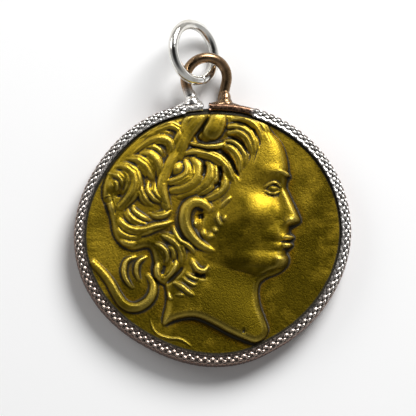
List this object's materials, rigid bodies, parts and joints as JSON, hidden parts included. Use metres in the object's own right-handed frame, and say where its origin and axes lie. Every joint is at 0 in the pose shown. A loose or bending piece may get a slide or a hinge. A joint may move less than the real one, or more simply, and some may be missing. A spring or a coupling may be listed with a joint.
{
  "type": "coin pendant",
  "caption": "Relief coin with a classical head, gripped in a patterned wire bezel with a soldered wire bail and a loose round jump ring; lies flat on its back.",
  "frame": {"origin": "middle of the pendant's bounding box, on the surface it lies on", "axes": "+Z out of the coin's face, +Y from the coin towards the bail and jump ring, +X where the head looks"},
  "size_m": [0.0306, 0.0384, 0.0054],
  "materials": {
    "coin_brass": "struck brass with dark patina in the hollows",
    "bezel_silver": "patterned silver strip, oxidised in the recesses, solder feet warm",
    "bail_copper": "drawn wire heated to a copper brown",
    "ring_silver": "polished silver wire"
  },
  "bodies": {
    "root": {"coin": "coin_brass", "bezel_and_bail": "bezel_silver", "jump_ring": "ring_silver"}
  },
  "joints": []
}
